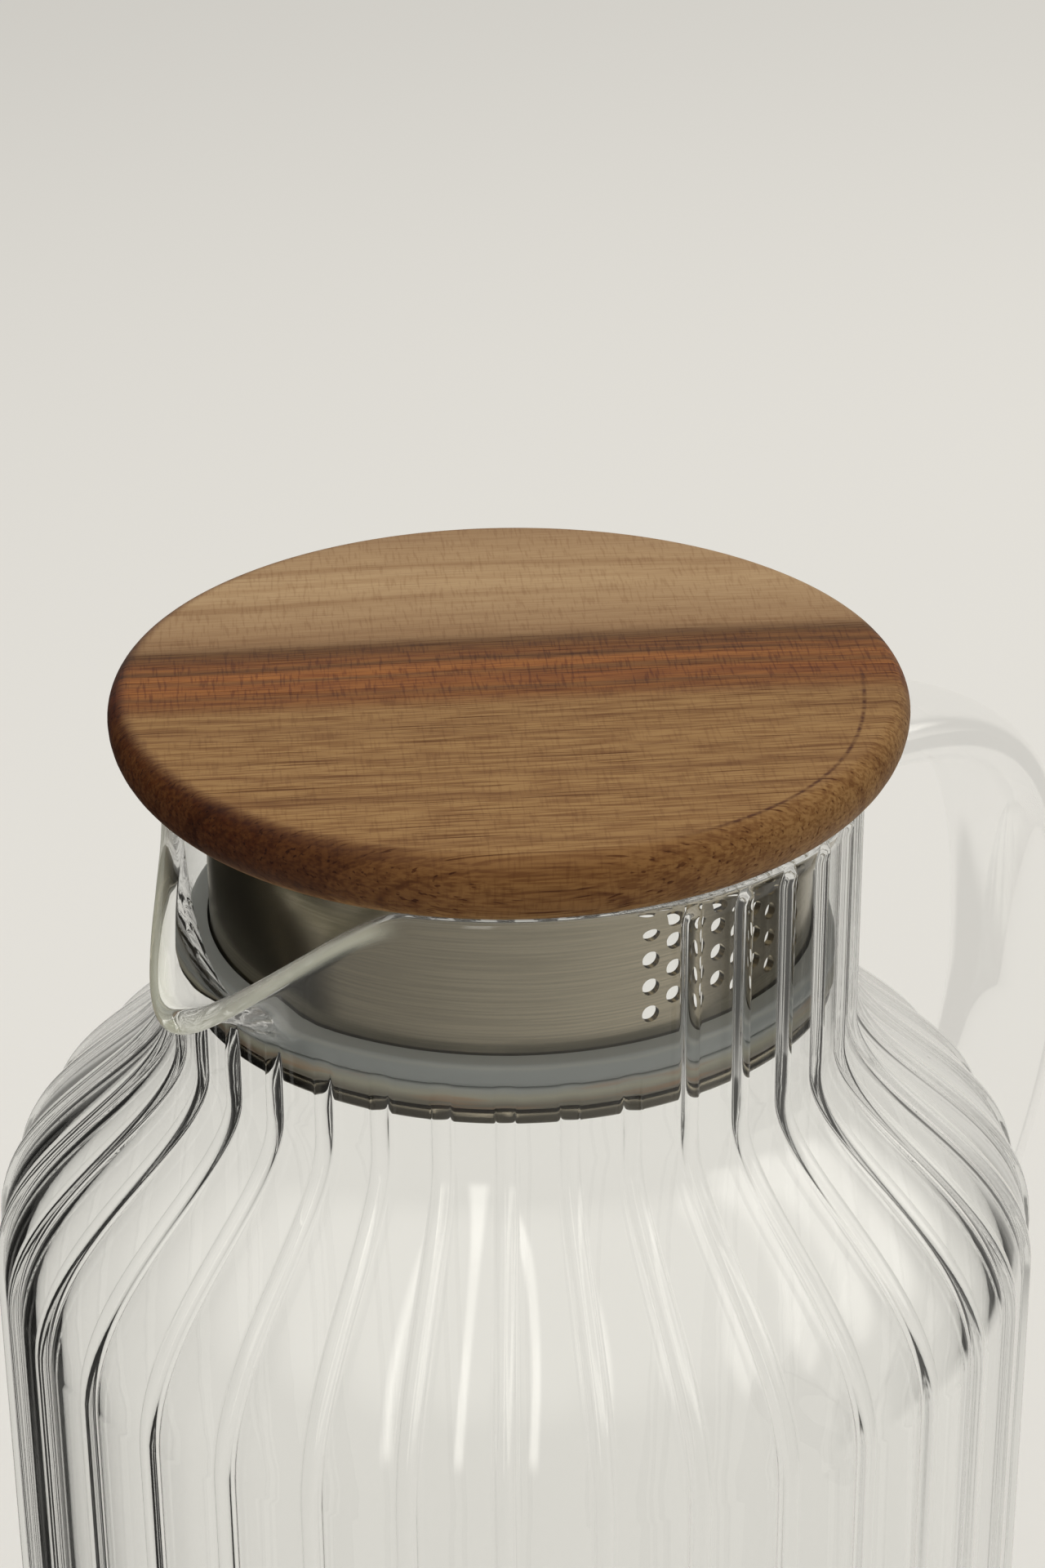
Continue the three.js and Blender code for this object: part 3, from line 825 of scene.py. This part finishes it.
def glass_nodes(glass, material):
    """Geometry nodes that raise the ribs, crown the panels and pull the spout on the plain glass."""
    graph = PieceGraph("Ribs and spout", {
        **sizes(glass, "rib_count", "rib_width", "rib_height", "rib_edge", "rib_top_drop", "rib_spout_drop",
                "rib_fade", "rib_low_bearing", "rib_high_bearing", "flute_depth", "flute_end",
                "body_radius", "rim_height", "rim_round", "rim_bead", "lip_bead", "spout_reach", "spout_dip",
                "spout_depth", "spout_half_angle", "spout_nose", "spout_taper", "spout_sweep", "spout_flare"),
        "Neck Foot": glass.body_height + glass.shoulder_height})
    size = graph.input
    bearing = graph.attribute("bearing")
    neck = graph.attribute("neck")
    plain = graph.attribute("plain_radius")
    bead = graph.attribute("bead")

    def at_least_zero(value):
        return graph.math("MAXIMUM", value, 0.0)

    # The spout: one at its nose, falling to zero at its sides
    side = abs(bearing - math.pi) / size("Spout Half Angle")
    nose = size("Spout Nose")
    full = graph.hypot(1.0, nose) - nose
    spout = at_least_zero(1 - (graph.hypot(side, nose) - nose) / full)
    reach = size("Spout Reach") * spout ** size("Spout Taper")
    rise = size("Spout Depth") - size("Rim Round") - size("Spout Dip") * spout ** size("Spout Sweep")
    flare = size("Spout Flare")
    bent_out = reach * neck ** flare
    slope = reach * flare * neck ** (flare - 1)
    steep = graph.hypot(rise, slope)
    on_neck = neck > 0.0
    root = size("Rim Height") - size("Spout Depth")
    radius = plain + bent_out
    height = graph.attribute("plain_height") * (1 - on_neck) + (root + rise * neck) * on_neck
    out = graph.attribute("normal_out") * (1 - on_neck) + rise / steep * on_neck
    up = graph.attribute("normal_up") * (1 - on_neck) - slope / steep * on_neck

    # The ribs: beads with a round upper end, which is lower and fades in near the spout
    pitch = TURN / size("Rib Count")
    crest = (graph.math("FLOOR", bearing / pitch) + 0.5) * pitch
    free = graph.smooth(abs(crest - math.pi), size("Low Ribs"), size("High Ribs"))
    drop = size("Rib Spout Drop") + (size("Rib Top Drop") - size("Rib Spout Drop")) * free
    half = size("Rib Width") / 2
    end = size("Rim Height") - drop - half
    over = at_least_zero(height - end)
    off = graph.hypot((bearing - crest) * plain, over) / half
    ridge = at_least_zero(1 - off * off) ** size("Rib Edge")
    soft = graph.smooth(end + half - height, 0.0, size("Rib Fade"))
    ridge = ridge * (free + (1 - free) * soft)
    ridge = graph.attribute("rib") * size("Rib Height") * (plain / size("Body Radius")) * ridge

    # The flutes: panels that fall away towards the ribs, inside and outside
    away = 1 - abs(bearing - crest) / pitch * 2
    flute = graph.attribute("flute") * graph.smooth(size("Neck Foot") - height, 0.0, size("Flute End"))
    flute = flute * size("Flute Depth") * away * away

    swell = bead * (size("Rim Bead") + size("Lip Bead") * graph.math("SQRT", spout))
    lift = graph.attribute("push") + swell + ridge - flute
    crown = graph.attribute("crown")
    place = graph.spot(radius + out * lift - up * crown, bearing, height + up * lift + out * crown)
    shaped = graph.get("GeometryNodeSetPosition", {"Geometry": graph.mesh, "Position": place})
    lip = bead * graph.smooth(spout, 0.0, 0.25)
    marked = graph.get("GeometryNodeStoreNamedAttribute", {"Geometry": shaped, "Name": "lip", "Value": lip},
                       data_type="FLOAT", domain="POINT")
    graph.finish(marked, material)
    return graph


class PITCHER_OT_glass_body(bpy.types.Operator):
    """Blows the ribbed glass body with its neck and spout"""

    bl_idname = "pitcher.glass_body"
    bl_label = "Glass Body"

    def execute(self, context):
        glass = context.scene.pitcher_glass
        body = glass_blank(glass)
        glass_nodes(glass, glass_finish("blown_glass", glass, 0.0)).run(body)
        finish_piece(body, "jug", "clear_glass", "glass_body")
        return {"FINISHED"}


# Handle

def flattened(share, flatness):
    """A sine or cosine bent so that the oval which it draws has flat faces."""
    return math.copysign(abs(share) ** (2 / flatness), share)


def strap_points(glass, handle):
    """Points of the rings along the strap, from the neck to the side of the body."""
    reach = glass.body_radius + handle.standoff
    top = glass.rim_height - handle.top_drop
    start = glass.neck_radius - glass.wall / 2
    end = glass.body_radius - glass.wall / 2
    curves = [
        [(start, 0, top), (glass.neck_radius + handle.arm, 0, top),
         (reach, 0, handle.widest + handle.crook), (reach, 0, handle.widest)],
        [(reach, 0, handle.widest), (reach, 0, handle.widest - handle.knee),
         (glass.body_radius + handle.heel, 0, handle.foot), (end, 0, handle.foot)],
    ]
    points = []
    for half, curve in enumerate(curves):
        for step in range(half, STRAP_STEPS + 1):
            spot, way = bezier(curve, step / STRAP_STEPS)
            wall = glass.neck_radius if half == 0 else glass.body_radius
            near = max(0.0, 1 - (spot.x - wall) / handle.weld_length)
            spread = handle.weld_spread * near ** 2
            across = Vector((0, 1, 0))
            outward = across.cross(way)
            for side in range(STRAP_SIDES):
                turn = TURN * side / STRAP_SIDES
                wide = (handle.width / 2 + spread) * flattened(math.cos(turn), handle.flatness)
                thick = (handle.thickness / 2 + spread) * flattened(math.sin(turn), handle.flatness)
                point = spot + across * wide + outward * thick
                sag = wall - math.sqrt(wall ** 2 - wide ** 2)
                point.x -= sag * min(1.0, near)
                points.append(point)
    return points


class PITCHER_OT_glass_handle(bpy.types.Operator):
    """Draws the glass strap and welds it to the neck and the body"""

    bl_idname = "pitcher.glass_handle"
    bl_label = "Glass Handle"

    def execute(self, context):
        glass, settings = context.scene.pitcher_glass, context.scene.pitcher_handle
        points = strap_points(glass, settings)
        last = len(points) - STRAP_SIDES
        faces = []
        for here in range(0, last, STRAP_SIDES):
            faces += band(here, here + STRAP_SIDES, STRAP_SIDES)
        faces.append(tuple(range(STRAP_SIDES))[::-1])
        faces.append(tuple(range(last, len(points))))
        handle = new_piece("glass_handle_shape", points, faces)
        handle.data.materials.append(glass_finish("drawn_glass", glass, settings.faint))
        finish_piece(handle, "jug", "clear_glass", "glass_handle")
        return {"FINISHED"}


# Wooden lid

def drill(name, screws, depth, play, material):
    """Geometry nodes that drill a hole for each screw, with some play round its shank."""
    low, high = depth
    graph = PieceGraph(name, {
        **sizes(screws, "screws", "circle", "bearing", "shank"), "Play": play, "Low": low, "High": high})
    size = graph.input
    turn = size("Bearing") + graph.get("GeometryNodeInputIndex") * TURN / size("Screws")
    spot = graph.spot(size("Circle"), turn, (size("Low") + size("High")) / 2)
    bit = graph.rod(size("Shank") / 2 + size("Play"), size("High") - size("Low"))
    graph.finish(graph.cut(graph.mesh, graph.copies(bit, size("Screws"), spot)), material)
    return graph


class PITCHER_OT_wood_lid(bpy.types.Operator):
    """Turns the wooden lid"""

    bl_idname = "pitcher.wood_lid"
    bl_label = "Wooden Lid"

    def execute(self, context):
        settings = context.scene.pitcher_lid
        screws = context.scene.pitcher_screws
        equator = LID_HIGH.z - settings.top_round
        under = settings.radius - settings.under_inset
        outline = [(0, LID_LOW.z)]
        outline += [(under * share, LID_LOW.z) for share in (0.3, 0.6, 0.85)]
        outline += arc(under, equator, settings.under_inset, equator - LID_LOW.z, -90, 0, 12)
        outline += arc(settings.radius - settings.top_inset, equator,
                       settings.top_inset, settings.top_round, 0, 90, 10)[1:]
        outline += [((settings.radius - settings.top_inset) * share, LID_HIGH.z) for share in (0.9, 0.6, 0.3)]
        outline.append((0, LID_HIGH.z))
        lid = turned("wood_lid_shape", outline, LID_SIDES)
        depth = (LID_LOW.z - MM, SCREW_HIGH.z + 0.3 * MM)
        drill("Pilot holes", screws, depth, screws.wood_play, wood_finish(settings)).run(lid)
        finish_piece(lid, "lid", "lid_wood", "wood_lid", sharp=40)
        return {"FINISHED"}


# Strainer cup

def perforate(strainer, material):
    """Geometry nodes that punch staggered columns of holes into the cup's wall."""
    graph = PieceGraph("Perforations", {
        **sizes(strainer, "radius", "sheet", "hole_diameter", "hole_pitch", "hole_rows", "hole_columns",
                "hole_bearing"),
        "Lowest": SEAL_HIGH.z + strainer.hole_margin})
    size = graph.input
    rows, columns = size("Hole Rows"), size("Hole Columns")
    index = graph.get("GeometryNodeInputIndex")
    column = graph.math("FLOOR", index / rows)
    row = index - column * rows
    odd = graph.math("MODULO", column, 2.0)
    step = size("Hole Pitch") * math.cos(math.pi / 6) / size("Radius")
    turn = size("Hole Bearing") + (column - (columns - 1) / 2) * step
    height = size("Lowest") + (row + odd / 2) * size("Hole Pitch")
    spot = graph.spot(size("Radius") - size("Sheet") / 2, turn, height)
    punch = graph.rod(size("Hole Diameter") / 2, 4 * size("Sheet"))
    lying = graph.vector(0.0, math.pi / 2, turn)
    punches = graph.copies(punch, rows * columns, spot, lying)
    graph.finish(graph.cut(graph.mesh, punches), material)
    return graph


class PITCHER_OT_strainer_cup(bpy.types.Operator):
    """Draws the steel cup, rolls its hem and punches its perforations"""

    bl_idname = "pitcher.strainer_cup"
    bl_label = "Strainer Cup"

    def execute(self, context):
        settings = context.scene.pitcher_strainer
        screws = context.scene.pitcher_screws
        outer, inner = settings.radius, settings.radius - settings.sheet
        top, ceiling, foot = CUP_HIGH.z, CUP_HIGH.z - settings.sheet, CUP_LOW.z
        roll = settings.hem_height / 2
        bend = settings.top_round
        inside = max(bend - settings.sheet, 0.3 * MM)
        outline = [(0, ceiling), (0.5 * inner, ceiling)]
        outline += arc(inner - inside, ceiling - inside, inside, inside, 90, 0, 4)
        outline += [(inner, foot + settings.hem_height), (inner, foot + roll)]
        outline += arc(CUP_HIGH.x - roll, foot + roll, roll, roll, -100, 90, 12)
        hem = foot + settings.hem_height
        outline += [(outer + 0.1 * MM, hem), (outer, hem + 0.1 * MM), (outer, SEAL_HIGH.z)]
        outline += arc(outer - bend, top - bend, bend, bend, 0, 90, 6)
        outline += [(0.5 * inner, top), (0, top)]
        cup = turned("strainer_cup_shape", outline, CUP_SIDES)
        steel = steel_finish(settings.steel)
        drill("Screw holes", screws, (ceiling - MM, top + MM), screws.steel_play, steel).run(cup)
        perforate(settings, steel).run(cup)
        finish_piece(cup, "lid", "satin_steel", "strainer_cup", sharp=35)
        return {"FINISHED"}


class PITCHER_OT_seal_ring(bpy.types.Operator):
    """Moulds the silicone seal with its lips"""

    bl_idname = "pitcher.seal_ring"
    bl_label = "Seal Ring"

    def execute(self, context):
        settings = context.scene.pitcher_seal
        outer = SEAL_HIGH.x
        inner, groove = outer - settings.thickness, outer - settings.lip_depth
        lip = (SEAL_HIGH.z - SEAL_LOW.z) / settings.lips
        outline = [(inner, SEAL_LOW.z)]
        for index in range(settings.lips):
            middle = SEAL_LOW.z + (index + 0.5) * lip
            outline += arc(groove, middle, settings.lip_depth, lip / 2, -90, 90, 12)[1 if index else 0:]
        outline += [(inner, SEAL_HIGH.z), (inner, (SEAL_LOW.z + SEAL_HIGH.z) / 2)]
        seal = turned_ring("seal_ring_shape", outline, SEAL_SIDES)
        seal.data.materials.append(silicone_finish(settings))
        finish_piece(seal, "seal", "seal_silicone", "seal_ring", sharp=50)
        return {"FINISHED"}


# Screws

def screw_blank(screws):
    """One domed screw with a helical thread, standing on its axis with its seat at zero."""
    shank = screws.shank / 2
    tip = SCREW_HIGH.z - SCREW_LOW.z - screws.head_height
    outline = arc(0, 0, screws.head / 2, screws.head_height, -90, 0, 8)
    rows = int((tip - screws.point) / screws.thread_pitch * 8)
    shaft = [(shank, (tip - screws.point) * step / rows) for step in range(rows + 1)]
    points = [(0, 0, outline[0][1])]
    for radius, height in outline[1:] + shaft:
        for column in range(SCREW_SIDES):
            bearing = TURN * column / SCREW_SIDES
            wave = abs((height / screws.thread_pitch - column / SCREW_SIDES) % 1 * 2 - 1)
            cut = screws.thread_depth * (1 - wave) if 0 < height else 0
            points.append(((radius - cut) * math.cos(bearing), (radius - cut) * math.sin(bearing), height))
    points.append((0, 0, tip))
    return new_piece("lid_screws_shape", points, turned_faces(len(outline) + len(shaft) + 1, SCREW_SIDES))


def set_screws(screws, material):
    """Geometry nodes that cut a cross recess into a screw and set copies of it round the cup."""
    graph = PieceGraph("Screws", {
        **sizes(screws, "screws", "circle", "bearing", "spin", "head_height",
                "slot_width", "slot_length", "slot_depth"),
        "Seat": SCREW_LOW.z + screws.head_height})
    size = graph.input
    long, wide, tall = size("Slot Length"), size("Slot Width"), 2 * size("Slot Depth")
    low = graph.vector(0.0, 0.0, -1 * size("Head Height"))
    screw = graph.mesh
    for slot in (graph.vector(long, wide, tall), graph.vector(wide, long, tall)):
        block = graph.get("GeometryNodeMeshCube", {"Size": slot})
        bit = graph.get("GeometryNodeTransform", {"Geometry": block, "Translation": low})
        screw = graph.cut(screw, bit)
    index = graph.get("GeometryNodeInputIndex")
    turn = size("Bearing") + index * TURN / size("Screws")
    spot = graph.spot(size("Circle"), turn, size("Seat"))
    spun = graph.vector(0.0, 0.0, size("Spin") * index)
    graph.finish(graph.copies(screw, size("Screws"), spot, spun), material)
    return graph


class PITCHER_OT_lid_screws(bpy.types.Operator):
    """Sets the screws that hold the cup to the lid"""

    bl_idname = "pitcher.lid_screws"
    bl_label = "Lid Screws"

    def execute(self, context):
        settings = context.scene.pitcher_screws
        screws = screw_blank(settings)
        steel = steel_finish(context.scene.pitcher_strainer.steel, "screw_steel")
        set_screws(settings, steel).run(screws)
        nodes = [f"lid_screw_{index + 1}" for index in range(settings.screws)]
        finish_piece(screws, "lid", "satin_steel", *nodes, sharp=35)
        return {"FINISHED"}


# Stage

def seen_straight(graph):
    """1 for what the camera sees directly or through clear glass, 0 for what lights or mirrors in it."""
    through = graph.ray("Is Transmission Ray") * (graph.ray("Glossy Depth") < 0.5)
    return graph.math("MAXIMUM", graph.ray("Is Camera Ray"), through)


def studio_tone(graph, stage, straight, x, y, up):
    """Colour of the surroundings at a place on the floor or in a direction of the world.

    They are pale where they are seen straight. What lights and mirrors in the object is a studio: a black
    flag on the left of the camera, a dim room behind it, a dark corner on the right behind the object,
    a bright ceiling, a strip light that climbs from behind the camera to the zenith and, for mirror images
    alone, a window on the right.
    """
    rise = graph.smooth
    away = graph.hypot(x, y) + MM
    ahead = (x * math.cos(stage.bearing) + y * math.sin(stage.bearing)) / away
    right = (y * math.cos(stage.bearing) - x * math.sin(stage.bearing)) / away
    on_floor = 1 - rise(up, -0.02, 0.02)
    in_sky = 1 - on_floor

    # Dark places, which leave the floor close to the object pale
    flag = 0.985 * rise(0 - right, 0.3, 0.6) * (1 - rise(ahead, 0.3, 0.65))
    flag = flag * (in_sky + on_floor * rise(away, 0.13, 0.18))
    room = (0.49 - 0.2 * right) * rise(ahead, -0.3, 0.5)
    corner = 0.9 * rise(right, 0.15, 0.4) * rise(ahead, -0.8, -0.55)
    corner = corner * (on_floor * rise(away, 0.29, 0.36) * (1 - rise(ahead, 0.2, 0.5))
                       + in_sky * (1 - rise(ahead, -0.4, 0.0)))
    dim = graph.math("MAXIMUM", graph.math("MAXIMUM", flag, room), corner)

    # Bright places
    ceiling = rise(up, 0.4, 0.8) * (1 - corner)
    strip = abs(y * math.cos(stage.strip_bearing) - x * math.sin(stage.strip_bearing))
    strip = (1 - rise(strip, 0.03, 0.1)) * rise(ahead, 0.0, 0.5)
    strip = strip * rise(up, 0.0, 0.3) * (1 - 0.6 * rise(up, 0.8, 1.0))
    window = rise(right, 0.8, 0.95) * rise(up, 0.3, 0.45) * (1 - rise(up, 0.6, 0.75))
    window = window * graph.ray("Is Glossy Ray")
    lit = (1 - dim) * (1 - ceiling) + stage.ceiling * ceiling + stage.strip * strip + stage.window * window

    # The pale backdrop, glowing as painted light that is lighter on the right and darker far behind the
    # object
    sky = in_sky * (1 - rise(up, 0.0, 0.5))
    near = on_floor * rise(away, 0.3, 0.7) + sky
    far = on_floor * rise(away, 0.6, 1.4) + sky
    pale = 1.02 + (0.18 * right * near - 0.1 * far) * rise(0 - ahead, 0.0, 0.6)
    level = straight * pale + (1 - straight) * lit
    return graph.darken(1.0, stage.backdrop, graph.vector(level, level, level))


def backdrop_finish(stage):
    """Pale matt floor that keeps a soft shadow near the object and fades into the backdrop, a glow of painted
    light.
    """
    finish = Finish("pale_floor", {"Base Color": stage.matt, "Roughness": 0.9})
    x, y, _ = finish.parts(finish.place())
    straight = seen_straight(finish)
    pale = finish.math("MAXIMUM", straight, finish.ray("Is Diffuse Ray"))
    glow = finish.get("ShaderNodeEmission", {"Color": studio_tone(finish, stage, pale, x, y, -1.0)})
    finish.material.cycles.emission_sampling = "NONE"
    matt = 0.6 * straight * (1 - finish.smooth(finish.hypot(x, y), 0.25, 1.2))
    finish.show(finish.blend(matt, glow, finish.surface))
    return finish.material


def world_light(stage):
    """A world that goes on where the floor ends."""
    world = bpy.data.worlds.new("Studio")
    bpy.context.scene.world = world
    world.use_nodes = True
    graph = Graph(world.node_tree)
    x, y, up = graph.parts(graph.get("ShaderNodeTexCoord", output="Generated"))
    tone = studio_tone(graph, stage, seen_straight(graph), x, y, up)
    sky = graph.get("ShaderNodeBackground", {"Color": tone})
    output = graph.add("ShaderNodeOutputWorld")
    graph.feed(output.inputs["Surface"], sky)


def set_camera(stage):
    """The camera, aimed near the middle of the lid."""
    middle = Vector((0, 0, LID_HIGH.z - bpy.context.scene.pitcher_lid.top_round))
    tilt, turn = stage.elevation, stage.bearing
    back = Vector((math.cos(tilt) * math.cos(turn), math.cos(tilt) * math.sin(turn), math.sin(tilt)))
    eye = middle + back * stage.distance
    right = Vector((0, 0, 1)).cross(back).normalized()
    up = back.cross(right)
    aim = middle + right * stage.aim_right - up * stage.aim_down
    camera = bpy.data.objects.new("camera", bpy.data.cameras.new("camera"))
    camera.data.lens = stage.lens
    camera.data.sensor_width = 36
    camera.data.clip_start = 0.01
    facing = (eye - aim).to_track_quat("Z", "Y").to_matrix()
    camera.matrix_world = Matrix.Translation(eye) @ (facing @ Matrix.Rotation(-stage.roll, 3, "Z")).to_4x4()
    bpy.context.scene.collection.objects.link(camera)
    bpy.context.scene.camera = camera


class PITCHER_OT_stage(bpy.types.Operator):
    """Sets up the floor, the light and the camera"""

    bl_idname = "pitcher.stage"
    bl_label = "Stage"

    def execute(self, context):
        scene = context.scene
        stage = scene.pitcher_stage
        scene.view_settings.view_transform = "Standard"
        scene.cycles.use_denoising = True
        scene.cycles.max_bounces = stage.bounces
        scene.cycles.glossy_bounces = stage.bounces
        scene.cycles.transmission_bounces = stage.bounces
        scene.cycles.transparent_max_bounces = stage.bounces // 2
        rim = ring_of(stage.floor_radius, -stage.floor_gap, FLOOR_SIDES)
        floor = new_piece("floor", rim, [tuple(range(FLOOR_SIDES))])
        floor.data.materials.append(backdrop_finish(stage))
        world_light(stage)
        set_camera(stage)
        return {"FINISHED"}


# Add-on

class PITCHER_PT_sidebar(bpy.types.Panel):
    """Lists the steps and their sizes"""

    bl_idname = "PITCHER_PT_sidebar"
    bl_label = "Ribbed Glass Pitcher"
    bl_space_type = "VIEW_3D"
    bl_region_type = "UI"
    bl_category = "Pitcher"

    def draw(self, context):
        for operator, group in STEPS:
            box = self.layout.box()
            box.operator(operator.bl_idname)
            settings = getattr(context.scene, group)
            for name in settings.__annotations__:
                box.prop(settings, name)


GROUPS = {
    "pitcher_glass": GlassSettings,
    "pitcher_handle": HandleSettings,
    "pitcher_lid": LidSettings,
    "pitcher_strainer": StrainerSettings,
    "pitcher_seal": SealSettings,
    "pitcher_screws": ScrewSettings,
    "pitcher_stage": StageSettings,
}
STEPS = (
    (PITCHER_OT_stage, "pitcher_stage"),
    (PITCHER_OT_glass_body, "pitcher_glass"),
    (PITCHER_OT_glass_handle, "pitcher_handle"),
    (PITCHER_OT_wood_lid, "pitcher_lid"),
    (PITCHER_OT_strainer_cup, "pitcher_strainer"),
    (PITCHER_OT_seal_ring, "pitcher_seal"),
    (PITCHER_OT_lid_screws, "pitcher_screws"),
)
CLASSES = (*GROUPS.values(), *(operator for operator, _ in STEPS), PITCHER_PT_sidebar)


def register():
    for cls in CLASSES:
        bpy.utils.register_class(cls)
    for name, group in GROUPS.items():
        setattr(bpy.types.Scene, name, bpy.props.PointerProperty(type=group))


def unregister():
    for name in GROUPS:
        delattr(bpy.types.Scene, name)
    for cls in reversed(CLASSES):
        bpy.utils.unregister_class(cls)


def main():
    """Builds every piece."""
    register()
    for operator, _ in STEPS:
        family, name = operator.bl_idname.split(".")
        getattr(getattr(bpy.ops, family), name)()


if __name__ == "__main__":
    main()
